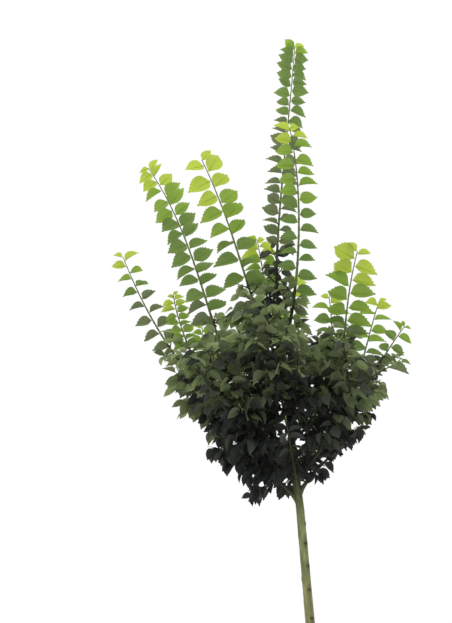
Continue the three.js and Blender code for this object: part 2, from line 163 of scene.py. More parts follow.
# Leaves in the crown, of their real size
LEAF_LENGTH = 56
LEAF_SPACING = 17
LEAF_SPACING_VARIES = (0.85, 1.15)
LEAF_APART = 0.27  # between the middles of two leaves, over their length
LEAF_TURN = 1.2  # spread of a leaf's turn round its twig, in radians
LEAF_TRIES = 6
TRY_TURN = 0.8  # what each try adds to that spread
TRY_SHORTER = 0.05  # what it takes off the length
SPRAY = 4  # leaves of one tint
SPIRE_SPARE = 24  # how far beyond SPIRE_REACH a leaf may come
MIDDLE_MARGIN = 8  # between a leaf's middle and the wood
TWIG_LEAVES_FROM = 24  # along a side twig
SPRIG_LEAVES_FROM = 20  # along a finer one
STEM_LEAVES_FROM = 10  # from where the mass begins
STEM_LEAVES_SHORT = 20  # before the side twigs end
STEM_LOW = 0.3  # leaves on stems hang as on a side twig this low

# Single leaves on the young shoots
SHOOT_LEAF_GROWN = 1.04  # over the length in the table
SHOOT_LEAF_TURN = 0.6
SHOOT_SPACING_VARIES = (0.9, 1.1)
SHOOT_HANG = 0.34
TIP_FROM = 0.82  # from this share of a shoot its leaves draw together
TIP_SPACING = 0.6
TIP_FORWARD = 0.5
TIP_HANGS_LESS = 0.6
LAST_LEAF = 0.65  # over the length of the others
LAST_LEAF_WITHIN = 10  # of the tip

# How leaves vary: what their length is multiplied by, their width over it, what that is multiplied by, how
# they fold up, arch and twist, and the way they face: across, up to half of that to either side, deep, from
# the front to the back, and up
Kind = namedtuple("Kind", "lengths width widths folds arches twists across deep up")
CROWN_KIND = Kind(
    (0.82, 1.18), 0.6, (0.92, 1.1), (0.2, 0.65), (0.06, 0.38), (-0.5, 0.5), 1, (-0.1, 0.9), 0.8
)
SHOOT_KIND = Kind(
    (0.9, 1.1), 0.8, (0.94, 1.06), (0.35, 0.75), (0.05, 0.28), (-0.35, 0.35), 0.8, (-0.14, 0.76), 0.85
)

# How much light a leaf in the crown gets, which is painted into its tint: painted light at the top and
# sides, painted shade towards the heart and the foot
HEIGHT_LIGHT = (0.9, 0.5)  # for each share of the crown's height, below its middle and above
MOST_HEIGHT = 1.3
OUT_LIGHT = 0.85  # for each share of the crown's width
DARK_WIDTH = 0.4  # the share that counts as 0
MOST_WIDTH = 1.1
LIGHT_SPREAD = (0.45, 0.95)  # between sprays, at the crown's foot and from its middle up
MASS_SHADE = {"leader": 0.5}  # how much darker a mass is than the crown round it: painted shade
LEAST_LIGHT = {"pale": 0.66, "olive": 0.37, "outer": 0.08, "inner": -0.22}  # darker leaves are deep

# How far the three lightest tints reach from the tip of a shoot, and its leaves' spacing over the table's.
# That the leaves are lighter towards the tip is partly their young colour and partly painted light.
# Other shoots have the crown's tints.
SHOOT_TINTS = ("tip", "fresh", "green")
SHOOT_LOOKS = {
    "left_tall_back": (150, 300, 720, 0.93),
    "left_tall_front": (170, 330, 700, 0.86),
    "leader": (12, 50, 430, 1.0),
    "front_tall": (110, 330, 640, 0.86),
    "right_tall": (120, 260, 500, 0.85),
    "back_right": (60, 200, 420, 0.8),
    "right_outer": (0, 60, 240, 0.8),
    "right_front_low": (0, 0, 20, 0.8),
    "right_back_short": (40, 110, 260, 0.8),
    "far_left": (40, 100, 200, 1.08),
    "left_front": (50, 420, 560, 0.6),
    "left_back_short": (30, 120, 280, 0.52),
    "back_tall": (90, 200, 380, 0.8),
    "back_short": (90, 190, 340, 0.52),
}
PLAIN_SHOOT = (0, 0, 0, 0.8)
TINT_REACH_VARIES = (0.85, 1.15)


def lerp(a, b, share):
    return a + (b - a) * share


def clamp(x, low=0.0, high=1.0):
    return min(high, max(low, x))


class Seeded:
    """The part's numbers from 0 to 1, the same on every run"""

    def __init__(self, name):
        self.state = 19
        for letter in name:
            self.state = (self.state * 31 + ord(letter)) % 2**32

    def __call__(self):
        self.state = (self.state * 1664525 + 1013904223) % 2**32
        return self.state / 2**32

    def between(self, low, high):
        return lerp(low, high, self())

    def around(self, spread):
        """Up to half of spread to either side of 0"""
        return spread * (self() - 0.5)

    def side(self):
        return 1 if self() < 0.5 else -1


# Lines that wood grows along: points at an even spacing


def trunk_radius(height):
    if height < FORK_HEIGHT:
        taper = (TRUNK_GIRTH_RADIUS - FORK_RADIUS) / (FORK_HEIGHT - GIRTH_HEIGHT)
        flare = FLARE_RADIUS * math.exp(-height / FLARE_HEIGHT)
        return TRUNK_GIRTH_RADIUS + (GIRTH_HEIGHT - height) * taper + flare
    share = (height - FORK_HEIGHT) / (TRUNK_TOP - FORK_HEIGHT)
    return lerp(FORK_RADIUS, TRUNK_TOP_RADIUS, share)


def trunk_centre(height):
    return Vector((TRUNK_LEAN * height + TRUNK_SWEEP * max(0, height - FORK_HEIGHT), 0, height))


class Line:
    def __init__(self, points, spacing):
        self.points = points
        self.spacing = spacing
        self.length = spacing * (len(points) - 1)

    def at(self, s):
        """The point at the distance s along the line, and the line's way there"""
        place = clamp(s / self.spacing, 0, len(self.points) - 1)
        i = min(len(self.points) - 2, int(place))
        ahead = self.points[i + 1] - self.points[i]
        return self.points[i] + ahead * (place - i), ahead.normalized()

    def stretch(self, s0, s1, step):
        """Points from s0 to s1, about a step apart, and how far along each is"""
        places = np.linspace(s0, s1, max(2, round((s1 - s0) / step) + 1))
        return np.array([self.at(s)[0] for s in places]), places


def bough_line(bough):
    """A bough from the trunk's axis to the tip of its shoot"""
    azimuth = math.radians(bough["azimuth"])
    side = Vector((math.cos(azimuth), math.sin(azimuth), 0))
    points = [trunk_centre(bough["start"])]
    steps = round(bough["length"] / CURVE_STEP)
    spacing = bough["length"] / steps
    for i in range(steps):
        s = (i + 0.5) * spacing
        settling = (bough["leave"] - bough["lean"]) * math.exp(-s / bough["settle"])
        angle = math.radians(bough["lean"] + settling + bough["arch"] * (s / bough["length"]) ** 2)
        way = side * math.sin(angle) + Vector((0, 0, math.cos(angle)))
        points.append(points[-1] + way * spacing)
    return Line(points, spacing)


def twig_line(start, way, length, rise, reaches):
    """A twig that turns up as it grows and stops where it would leave its space"""
    points = [start.copy()]
    heading = way.copy()
    steps = max(LEAST_STEPS, round(length / CURVE_STEP))
    spacing = length / steps
    for _ in range(steps):
        heading.z += rise * spacing / TWIG_LENGTH
        heading.normalize()
        ahead = points[-1] + heading * spacing
        if len(points) > 1 and not reaches(ahead):
            break
        points.append(ahead)
    return Line(points, spacing)


def limb_radius(bough, s):
    return lerp(bough["radius"], STEM_TIP_RADIUS, min(1, s / bough["length"]) ** LIMB_TAPER)


def across_of(way):
    """A level direction across a limb that grows in the direction way"""
    across = Vector((way.y, -way.x, 0))
    if across.length < 1e-3:
        across = Vector((1, 0, 0))
    return across.normalized()


def turned(vector, axis, angle):
    return Quaternion(axis, angle) @ vector


# Space: a point belongs to the mass whose own stem is nearest, and keeps off the wood of the others.


class Space:
    def __init__(self, boughs):
        stems, starts, limbs, limb_radii = [], [], [], []
        for bough in boughs:
            line = bough["line"]
            split = math.ceil(bough["wood"] / line.spacing)
            starts.append(len(stems))
            stems.extend(line.points[split::2])
            if bough["wood"] > 0:
                limbs.extend(line.points[: split + 1])
                limb_radii.extend([bough["radius"]] * (split + 1))
        self.stems, self.stem_starts = np.array(stems), starts
        self.own_stems = np.split(self.stems, starts[1:])
        self.limbs, self.limb_radii = np.array(limbs), np.array(limb_radii)

    def clear_of_wood(self, p, margin=LIMB_MARGIN):
        height = clamp(p.z, 0, TRUNK_TOP)
        if (trunk_centre(height) - p).length < trunk_radius(height) + margin:
            return False
        away = np.linalg.norm(self.limbs - np.array(p), axis=1)
        return bool((away > self.limb_radii + margin).all())

    def free(self, own, p):
        if not self.clear_of_wood(p):
            return False
        away = np.minimum.reduceat(np.linalg.norm(self.stems - np.array(p), axis=1), self.stem_starts)
        mine = away[own]
        away[own] = np.inf
        return away.min() > mine + SPACE_MARGIN

    def in_spire(self, own, p, spare=0):
        """Whether a point above the crown's middle is near enough to its stem"""
        if p.z < CROWN_CENTRE.z:
            return False
        return np.linalg.norm(self.own_stems[own] - np.array(p), axis=1).min() < SPIRE_REACH + spare


def height_in_crown(p):
    """0 in the crown's middle, 1 at its top and -1 at the foot it would have without its floor"""
    above = (p - CROWN_CENTRE).z
    return above / (CROWN_RISE[p.x > 0] if above > 0 else CROWN_DROP)


def in_hollow(p):
    return any(
        abs(p.x - middle) < half and p.z > floor + HOLLOW_RISE * p.y for middle, half, floor in HOLLOWS
    )


def in_crown(p, share):
    """Whether a point is in the round crown, drawn in to a share of its size"""
    q = p - CROWN_CENTRE
    high = height_in_crown(p)
    wide = 1 + CROWN_TAPER[q.x > 0] * min(0, high)
    across = math.hypot(q.x / CROWN_WIDTH[0], q.y / CROWN_WIDTH[1]) / wide
    return p.z > CROWN_FLOOR and math.hypot(across, high) < share and not in_hollow(p)


# Foliage

Leaf = namedtuple("Leaf", "root along up length fold arch twist width tint mass")
Twig = namedtuple("Twig", "line radius tip_radius mass")
leaves, twigs = [], []
middles = defaultdict(list)  # of the leaves, by cell
CELL = 40


def cell_of(point):
    return tuple(int(c // CELL) for c in point)


def crowded(middle, apart):
    cells = product(*((c - 1, c, c + 1) for c in cell_of(middle)))
    return any((other - middle).length < apart for cell in cells for other in middles.get(cell, ()))


def add_leaf(leaf):
    middle = leaf.root + leaf.along * (0.5 * leaf.length)
    middles[cell_of(middle)].append(middle)
    leaves.append(leaf)


def level_side(way):
    flat = Vector((-way.y, way.x, 0))
    if flat.length < UPRIGHT:
        flat = UPRIGHT_SIDE.cross(way)
    return flat.normalized()


def leaf_way(way, sideways, hang, turn, random, forward=LEAF_FORWARD):
    """The way a leaf points from its twig"""
    out = turned(sideways, way, random.around(turn))
    out += way * (forward + LEAF_FORWARD_SPREAD * random())
    out.z -= hang * random.between(*HANG_VARIES)
    return out.normalized()


def face_way(kind, random):
    return Vector((random.around(kind.across), random.between(*kind.deep), kind.up))


def bends(kind, random):
    return random.between(*kind.folds), random.between(*kind.arches), random.between(*kind.twists)


def crown_tint(root, random, shade=0):
    """Leaves darken towards the heart and the foot of the crown, which is painted shade, and are paler at
    its top and sides, which is painted light.
    """
    high = min(MOST_HEIGHT, height_in_crown(root))
    out = math.hypot((root.x - CROWN_CENTRE.x) / CROWN_WIDTH[0], root.y / CROWN_WIDTH[1])
    light = HEIGHT_LIGHT[high > 0] * high + OUT_LIGHT * (min(out, MOST_WIDTH) - DARK_WIDTH)
    light += random.around(lerp(*LIGHT_SPREAD, clamp(1 + high)))
    light -= shade
    return next((tint for tint, least in LEAST_LIGHT.items() if light > least), "deep")


def shoot_tint(reaches, point, from_tip, random):
    if not any(reaches):
        return crown_tint(point, random)
    from_tip *= random.between(*TINT_REACH_VARIES)
    return next((tint for tint, reach in zip(SHOOT_TINTS, reaches) if from_tip < reach), "outer")


def leaf_fits(space, own, root, along, length):
    """Whether a leaf has room, keeps to the crown or its spire and clears the wood"""
    tip, middle = root + along * length, root + along * (0.5 * length)
    return (
        not crowded(middle, LEAF_APART * length)
        and (in_crown(tip, LEAF_SHARE) or space.in_spire(own, tip, SPIRE_SPARE))
        and space.clear_of_wood(tip)
        and space.clear_of_wood(middle, MIDDLE_MARGIN)
    )


def crown_leaves(space, own, line, begins, ends, low, random):
    """Leaves by turns on the two sides of a twig in the crown, of one tint a spray"""
    side = random.side()
    hang = CROWN_HANG + LOW_HANG * low
    s, dealt = begins, 0
    while s < ends + LEAF_SPACING / 2:
        point, way = line.at(min(s, ends))
        sideways = level_side(way) * side
        if s + LEAF_SPACING / 2 >= line.length:
            sideways *= LAST_LEAF_SIDEWAYS
        if dealt % SPRAY == 0:
            tint = crown_tint(point, random, MASS_SHADE.get(BOUGHS[own]["name"], 0))
        dealt += 1
        for i in range(LEAF_TRIES):
            along = leaf_way(way, sideways, hang, LEAF_TURN + TRY_TURN * i, random)
            up = face_way(CROWN_KIND, random)
            length = LEAF_LENGTH * random.between(*CROWN_KIND.lengths) * (1 - TRY_SHORTER * i)
            if leaf_fits(space, own, point, along, length):
                bent = bends(CROWN_KIND, random)
                width = CROWN_KIND.width * random.between(*CROWN_KIND.widths)
                add_leaf(Leaf(point, along, up, length, *bent, width, tint, own))
                break
        side = -side
        s += LEAF_SPACING * random.between(*LEAF_SPACING_VARIES)


def shoot_leaves(own, bough, random):
    """Single leaves in two rows on the young shoot, lighter towards its tip, partly by their young colour
    and partly by painted light
    """
    line = bough["line"]
    *reaches, closeness = SHOOT_LOOKS.get(bough["name"], PLAIN_SHOOT)
    spacing = bough["spacing"] * closeness
    rows = math.radians(bough["rows"])
    row_way = Vector((math.cos(rows), math.sin(rows), 0))
    side = random.side()
    s0, s1 = bough["bushy"], bough["length"] - 1
    s = s0
    while s < s1 + spacing / 2:
        point, way = line.at(min(s, s1))
        share = (s - s0) / (s1 - s0)
        young = lerp(1, bough["last"], max(0, share - YOUNG_FROM) / (1 - YOUNG_FROM))
        near_tip = clamp((share - TIP_FROM) / (1 - TIP_FROM))
        sideways = (row_way - way * row_way.dot(way)).normalized() * side
        hang = SHOOT_HANG * (1 - TIP_HANGS_LESS * near_tip)
        forward = lerp(LEAF_FORWARD, TIP_FORWARD, near_tip)
        along = leaf_way(way, sideways, hang, SHOOT_LEAF_TURN, random, forward)
        up = face_way(SHOOT_KIND, random)
        length = SHOOT_LEAF_GROWN * bough["leaf"] * young * random.between(*SHOOT_KIND.lengths)
        if s > s1 - LAST_LEAF_WITHIN:
            length *= LAST_LEAF
        bent = bends(SHOOT_KIND, random)
        if any(reaches) or in_crown(point + along * length, LEAF_SHARE):
            width = SHOOT_KIND.width * random.between(*SHOOT_KIND.widths)
            tint = shoot_tint(reaches, point, line.length - min(s, s1), random)
            add_leaf(Leaf(point, along, up, length, *bent, width, tint, own))
        side = -side
        closer = lerp(1, TIP_SPACING if any(reaches) else 1, near_tip)
        s += spacing * closer * random.between(*SHOOT_SPACING_VARIES)


def sprigs(space, own, twig, low, rise, reaches, random):
    side = random.side()
    s = SPRIGS_FROM
    while s < twig.length - SPRIGS_SHORT_OF_TIP:
        point, way = twig.at(s)
        angle = math.radians(SPRIG_ANGLE + random.around(SPRIG_ANGLE_SPREAD))
        axis = turned(level_side(way).cross(way), way, random.around(SPRIG_ROLL))
        out = turned(way, axis, side * angle)
        length = min(SPRIG_LENGTH, SPRIG_TIP_LENGTH + SPRIG_GAIN * (twig.length - s))
        length *= random.between(*SPRIG_LENGTH_VARIES)
        sprig = twig_line(point, out, length, rise, reaches)
        if sprig.length >= SHORTEST_SPRIG:
            thickness = lerp(TWIG_RADIUS, TWIG_TIP_RADIUS, s / twig.length)
            twigs.append(Twig(sprig, min(SPRIG_RADIUS, thickness * SPRIG_THINNER), SPRIG_TIP_RADIUS, own))
            crown_leaves(space, own, sprig, SPRIG_LEAVES_FROM, sprig.length, low, random)
        side = -side
        s += SPRIG_SPACING * random.between(*TWIG_VARIES)


def grow(space, own, bough):
    """One mass: twigs and leaves on its older stretch, and single leaves on its young shoot"""
    random = Seeded(bough["name"])
    line, begins, bushy = bough["line"], bough["wood"], bough["bushy"]

    def reaches(p, share):
        return space.free(own, p) and (in_crown(p, share) or space.in_spire(own, p))

    turn = random() * 2 * math.pi
    s = begins + TWIGS_FROM
    while s < bushy:
        point, way = line.at(s)
        share = (s - begins) / (bushy - begins)
        length = TWIG_LENGTH * lerp(1, TWIG_TOP_LENGTH, share) * random.between(*TWIG_VARIES)
        tilt = math.radians(TWIG_ANGLE + random.around(TWIG_ANGLE_SPREAD))
        out = turned(across_of(way), way, turn) * math.sin(tilt) + way * math.cos(tilt)
        low = clamp((CROWN_CENTRE.z - point.z) / (CROWN_CENTRE.z - CROWN_FLOOR))
        rise = lerp(*RISE, low)
        edge = random.between(*TWIG_SHARE)
        twig = twig_line(point, out, length, rise, lambda p: reaches(p, edge))
        if twig.length >= SHORTEST_TWIG:
            twigs.append(Twig(twig, TWIG_RADIUS, TWIG_TIP_RADIUS, own))
            crown_leaves(space, own, twig, TWIG_LEAVES_FROM, twig.length, low, random)
            sprigs(space, own, twig, low, rise, lambda p: reaches(p, edge + SPRIG_FURTHER), random)
        turn += math.radians(TURN)
        s += TWIG_SPACING * lerp(1, LOW_SPACING, low) * random.between(*TWIG_VARIES)
    crown_leaves(space, own, line, begins + STEM_LEAVES_FROM, bushy - STEM_LEAVES_SHORT, STEM_LOW, random)
    shoot_leaves(own, bough, random)


for bough in BOUGHS:
    bough["line"] = bough_line(bough)
SPACE = Space(BOUGHS)
for number, bough in enumerate(BOUGHS):
    grow(SPACE, number, bough)


# Meshes


def placed(name, data):
    made = bpy.data.objects.new(name, data)
    bpy.context.scene.collection.objects.link(made)
    return made


class Mesh:
    """Points and triangles gathered for one piece"""

    def __init__(self):
        self.points, self.faces, self.count = [], [], 0

    def add(self, points, faces):
        self.points.append(points)
        self.faces.append(faces + self.count)
        self.count += len(points)

    def made(self, name, material):
        points = np.concatenate(self.points) * METRES
        faces = np.concatenate(self.faces).astype(np.int32)
        mesh = bpy.data.meshes.new(name)
        mesh.vertices.add(len(points))
        mesh.vertices.foreach_set("co", points.astype(np.float32).ravel())
        mesh.loops.add(faces.size)
        mesh.loops.foreach_set("vertex_index", faces.ravel())
        mesh.polygons.add(len(faces))
        mesh.polygons.foreach_set("loop_start", np.arange(0, faces.size, 3, dtype=np.int32))
        mesh.polygons.foreach_set("use_smooth", np.ones(len(faces), bool))
        mesh.update(calc_edges=True)
        mesh.validate()
        mesh.materials.append(material)
        return placed(name, mesh)


def tube_faces(rings, sides):
    """Triangles of a tube of rings, closed at both ends round two last points"""
    i, k = np.meshgrid(np.arange(rings - 1), np.arange(sides), indexing="ij")
    a, b = i * sides + k, i * sides + (k + 1) % sides
    c, d = b + sides, a + sides
    wall = np.stack([a, b, c, a, c, d], -1).reshape(-1, 3)
    k = np.arange(sides)
    foot = np.stack([(k + 1) % sides, k, np.full(sides, rings * sides)], -1)
    last = (rings - 1) * sides
    tip = np.stack([last + k, last + (k + 1) % sides, np.full(sides, rings * sides + 1)], -1)
    return np.concatenate([wall, foot, tip])


def unit(vectors):
    return vectors / np.linalg.norm(vectors, axis=-1, keepdims=True)


FIRST_ACROSS = (0.31, 0.9, 0.13)  # a way that no limb starts in


def tube(points, radii, sides):
    """A limb round a line of points. radii is one number a ring, or one for each of its corners."""
    ways = unit(np.gradient(points, axis=0))
    across = np.empty_like(points)
    carried = np.cross(ways[0], FIRST_ACROSS)
    for i, way in enumerate(ways):
        carried = unit(carried - way * (carried @ way))
        across[i] = carried
    over = np.cross(ways, across)
    turn = np.linspace(0, 2 * np.pi, sides, endpoint=False)
    ring = across[:, None] * np.cos(turn)[:, None] + over[:, None] * np.sin(turn)[:, None]
    wall = (points[:, None] + ring * radii.reshape(len(points), -1, 1)).reshape(-1, 3)
    return np.concatenate([wall, points[:1], points[-1:]]), tube_faces(len(points), sides)


def swell(away, width, power=2):
    """1 in the middle, falling off about as far from it as width"""
    return np.exp(-((away / width) ** power))


# Leaf blades. A row goes out from the midrib at each side vein and between two veins. Its five corners are
# the two rims, two places part-way out and the midrib. Lengths are over the length of the blade or leaf.

SHOOT_ROWS, CROWN_ROWS = 16, 12
PROFILE_AT = [0, 0.04, 0.13, 0.26, 0.42, 0.56, 0.70, 0.82, 0.91, 1]  # along the blade
PROFILE = [0.06, 0.42, 0.78, 0.96, 1.0, 0.93, 0.74, 0.45, 0.19, 0.0]  # its width there
VEIN_SLANT = 0.2
SLANT_GROWS = 0.25  # over this part of the blade from the stalk
TOOTH = 0.024
TOOTH_OUT = 0.5  # how far a tooth points outwards, over how far forwards
TOOTHED_WIDTH = 0.1  # narrower stretches have no teeth
PLEAT = 0.016
RIM_PLEAT = 0.6  # of the others
PLEAT_FADES = 1 / 3  # over this part of the blade pleats fade towards its tip
STALK = 0.05
BASE_SKEW = 0.07  # how much further up the blade begins on its short side
PART_WAY = 0.52


def blade_template(rows):
    """(t along, v across, pleat) of each corner, and the triangles"""
    corners = [(0, 0, 0)]
    for k in range(1, rows):
        t = k / rows
        sign = 1 if k % 2 else -1
        corners += [(t, v, sign) for v in (-1, -PART_WAY, 0, PART_WAY, 1)]
    corners.append((1, 0, 0))
    faces = [(0, 1 + i, 2 + i) for i in range(4)]
    for k in range(rows - 2):
        for i in range(4):
            a = 1 + 5 * k + i
            faces += [(a, a + 5, a + 1), (a + 1, a + 5, a + 6)]
    last, tip = 1 + 5 * (rows - 2), 1 + 5 * (rows - 1)
    faces += [(last + i, tip, last + 1 + i) for i in range(4)]
    return np.array(corners, float), np.array(faces)


def field_of(chosen, field):
    """One field of the chosen leaves, with a row to each"""
    return np.array([getattr(leaf, field) for leaf in chosen], float).reshape(len(chosen), -1)


def copies(points, faces):
    """One mesh from the points of many leaves with the same faces"""
    every = faces[None] + (np.arange(len(points)) * points.shape[1])[:, None, None]
    return points.reshape(-1, 3), every.reshape(-1, 3)


def place_leaf(chosen, x, y, z):
    """Leaf coordinates over the leaf's length, bent by its arch and twist and set on its twig"""
    root, along, up, length, arch, twist = (
        field_of(chosen, field) for field in ("root", "along", "up", "length", "arch", "twist")
    )
    across = unit(np.cross(up, along))
    face = np.cross(along, across)
    beyond = np.maximum(0, x - STALK)
    turn = twist * beyond
    y, z = y * np.cos(turn) - z * np.sin(turn), y * np.sin(turn) + z * np.cos(turn)
    z = z - arch * beyond**2
    grown = [axis[:, None] * (length * c)[..., None] for axis, c in ((along, x), (across, y), (face, z))]
    return root[:, None] + sum(grown)


def rows_of(tint):
    return SHOOT_ROWS if tint in SHOOT_TINTS else CROWN_ROWS


def blades(chosen):
    """Toothed blades, pleated between their side veins"""
    corners, faces = blade_template(rows_of(chosen[0].tint))
    t, v, pleat = corners.T
    out = np.abs(v)
    skew = np.where(v > 0, BASE_SKEW, 0) * out
    slanted = t + VEIN_SLANT * out * (1 - t) * np.minimum(1, t / SLANT_GROWS)
    along = skew + (1 - skew) * slanted
    half = np.interp(slanted, PROFILE_AT, PROFILE)
    rim = out == 1
    tooth = np.where(rim, pleat * TOOTH * (half > TOOTHED_WIDTH), 0)
    width, fold = field_of(chosen, "width"), field_of(chosen, "fold")
    x = STALK + (1 - STALK) * (along + tooth)
    flat = np.sign(v) * (out * half / 2 + tooth * TOOTH_OUT) * width
    y = flat * np.cos(fold)
    puff = PLEAT * pleat * np.where(rim, RIM_PLEAT, 1) * (v != 0) * np.minimum(1, (1 - t) / PLEAT_FADES)
    z = np.abs(flat) * np.sin(fold) + puff
    return copies(place_leaf(chosen, np.broadcast_to(x, y.shape), y, z), faces)


STALK_PLACES = np.array([-0.005, 0.04, 0.3, 0.55, 0.82])  # over the leaf's length
STALK_RADII = np.array([1.15, 0.95, 0.75, 0.5, 0.15])  # in millimetres
STALK_SUNK = 0.35  # how deep it lies under the blade, over its radius
STALK_SIDES = 3


def stalks(chosen):
    """Each leaf's stalk, which runs on under its blade as the midrib"""
    length = field_of(chosen, "length")
    turn = np.arange(STALK_SIDES) * 2 * np.pi / STALK_SIDES - np.pi / 2
    around = np.tile(turn, len(STALK_PLACES))
    radius = np.repeat(STALK_RADII, STALK_SIDES) / length
    sunk = np.repeat(np.where(STALK_PLACES > STALK, STALK_RADII * STALK_SUNK, 0), STALK_SIDES) / length
    y, z = radius * np.cos(around), radius * np.sin(around) - sunk
    x = np.broadcast_to(np.repeat(STALK_PLACES, STALK_SIDES), y.shape)
    ends = np.broadcast_to(STALK_PLACES[[0, -1]], (len(chosen), 2))
    x, y, z = np.hstack([x, ends]), np.hstack([y, ends * 0]), np.hstack([z, ends * 0])
    return copies(place_leaf(chosen, x, y, z), tube_faces(len(STALK_PLACES), STALK_SIDES)[:, ::-1])


# Materials

MIX_FROM, MIX_TO, MIXED = 6, 7, 2  # a Mix node's sockets for colours
LENTICEL_FLAT = 2.2  # how much wider than tall the pale pores are
LENTICEL_PALE = 1.5  # over the light colour of the bark
PATCH_WIDE = 0.3  # the width of patches of bark over their height


def put(made, **values):
    """Sets a node's sockets, or its own settings where no socket has that name"""
    for key, value in values.items():
        socket = made.inputs.get(key.replace("_", " "))
        if socket is not None:
            socket.default_value = value
        else:
            setattr(made, key, value)
    return made


def node(nodes, kind, **values):
    return put(nodes.new(kind), **values)


def wire(links, *runs):
    for source, out, target, into in runs:
        links.new(source.outputs[out], target.inputs[into])


def colour_ramp(nodes, *stops):
    """A ramp between two colours, each given with its place"""
    ramp = node(nodes, "ShaderNodeValToRGB")
    for element, (place, colour) in zip(ramp.color_ramp.elements, stops):
        element.position, element.color = place, (*colour, 1)
    return ramp


def material(name):
    made = bpy.data.materials.new(name)
    made.use_nodes = True
    nodes, links = made.node_tree.nodes, made.node_tree.links
    return made, nodes, links, nodes["Principled BSDF"], nodes["Material Output"]


def leaf_material(name, colour, glow, roughness):
    """colour is what the blade throws back, glow what it lets through."""
    made, nodes, links, skin, output = material(name)
    put(skin, Base_Color=(*colour, 1), Roughness=roughness, Specular_IOR_Level=0.5)
    through = node(nodes, "ShaderNodeBsdfTranslucent", Color=(*glow, 1))
    mix = node(nodes, "ShaderNodeMixShader", Fac=0.5)
    place = node(nodes, "ShaderNodeTexCoord")
    net = node(nodes, "ShaderNodeTexVoronoi", Scale=420, feature="DISTANCE_TO_EDGE")
    grain = node(nodes, "ShaderNodeTexNoise", Scale=90, Detail=4)
    rough = node(nodes, "ShaderNodeBump", Strength=0.25, Distance=0.0006)
    fine = node(nodes, "ShaderNodeBump", Strength=0.3, Distance=0.0003)
    wire(
        links,
        (place, "Object", net, "Vector"),
        (place, "Object", grain, "Vector"),
        (grain, "Fac", rough, "Height"),
        (net, "Distance", fine, "Height"),
        (rough, "Normal", fine, "Normal"),
        (fine, "Normal", skin, "Normal"),
        (skin, "BSDF", mix, 1),
        (through, "BSDF", mix, 2),
        (mix, "Shader", output, "Surface"),
    )
    return made


def bark_material(name, light, dark, stretch, relief, other=None):
    """Bark with streaks along the limb, broad patches and pale pores, of the colour other where "knot" says

    stretch is the streaks' width over their length, and relief their height in metres.
    """
    made, nodes, links, skin, _ = material(name)
    place = node(nodes, "ShaderNodeTexCoord")
    long = node(nodes, "ShaderNodeMapping", Scale=(1, 1, stretch))
    broad = node(nodes, "ShaderNodeMapping", Scale=(1, 1, PATCH_WIDE))
    wide = node(nodes, "ShaderNodeMapping", Scale=(1, 1, LENTICEL_FLAT))
    streak = node(nodes, "ShaderNodeTexNoise", Scale=95, Detail=6, Roughness=0.62)
    patch = node(nodes, "ShaderNodeTexNoise", Scale=42, Detail=5, Roughness=0.6)
    spots = node(nodes, "ShaderNodeTexVoronoi", Scale=130)
    both = node(nodes, "ShaderNodeMath", operation="ADD")
    half = node(nodes, "ShaderNodeMath", operation="MULTIPLY")
    half.inputs[1].default_value = 0.5
    tones = colour_ramp(nodes, (0.36, dark), (0.62, light))
    pores = colour_ramp(nodes, (0.1, (1, 1, 1)), (0.2, (0, 0, 0)))
    pale = node(nodes, "ShaderNodeMix", data_type="RGBA")
    pale.inputs[MIX_TO].default_value = (*(c * LENTICEL_PALE for c in light), 1)
    bump = node(nodes, "ShaderNodeBump", Strength=0.6, Distance=relief)
    raised = node(nodes, "ShaderNodeBump", Strength=0.5, Distance=relief)
    put(skin, Roughness=0.78, Specular_IOR_Level=0.3)
    wire(
        links,
        (place, "Object", long, "Vector"),
        (place, "Object", broad, "Vector"),
        (place, "Object", wide, "Vector"),
        (long, "Vector", streak, "Vector"),
        (broad, "Vector", patch, "Vector"),
        (wide, "Vector", spots, "Vector"),
        (streak, "Fac", both, 0),
        (patch, "Fac", both, 1),
        (both, "Value", half, 0),
        (half, "Value", tones, "Fac"),
        (spots, "Distance", pores, "Fac"),
        (pores, "Color", pale, "Factor"),
        (tones, "Color", pale, MIX_FROM),
        (pale, MIXED, skin, "Base Color"),
        (streak, "Fac", bump, "Height"),
        (pores, "Color", raised, "Height"),
        (bump, "Normal", raised, "Normal"),
        (raised, "Normal", skin, "Normal"),
    )
    if other:
        knot = node(nodes, "ShaderNodeAttribute", attribute_name="knot")
        marked = node(nodes, "ShaderNodeMix", data_type="RGBA")
        marked.inputs[MIX_TO].default_value = (*other, 1)
        wire(
            links,
            (knot, "Fac", marked, "Factor"),
            (pale, MIXED, marked, MIX_FROM),
            (marked, MIXED, skin, "Base Color"),
        )
    return made


# What each tint of leaf throws back and lets through. The crown's tints, pale to deep, are painted light
# and painted shade.
LEAF_COLOURS = {
    # tip, fresh and green: partly the young leaves' own colour, partly painted light
    "tip": ((0.48, 0.61, 0.10), (0.60, 0.75, 0.09)),
    "fresh": ((0.25, 0.39, 0.085), (0.37, 0.55, 0.075)),
    "green": ((0.155, 0.25, 0.08), (0.26, 0.39, 0.09)),
    "pale": ((0.33, 0.40, 0.24), (0.41, 0.51, 0.215)),
    "olive": ((0.24, 0.30, 0.165), (0.34, 0.43, 0.165)),
    "outer": ((0.15, 0.188, 0.112), (0.23, 0.29, 0.118)),
    "inner": ((0.08, 0.091, 0.08), (0.11, 0.13, 0.085)),
    "deep": ((0.031, 0.035, 0.036), (0.041, 0.048, 0.04)),
}
SHOOT_LEAF_ROUGHNESS, CROWN_LEAF_ROUGHNESS, STALK_ROUGHNESS = 0.48, 0.36, 0.5

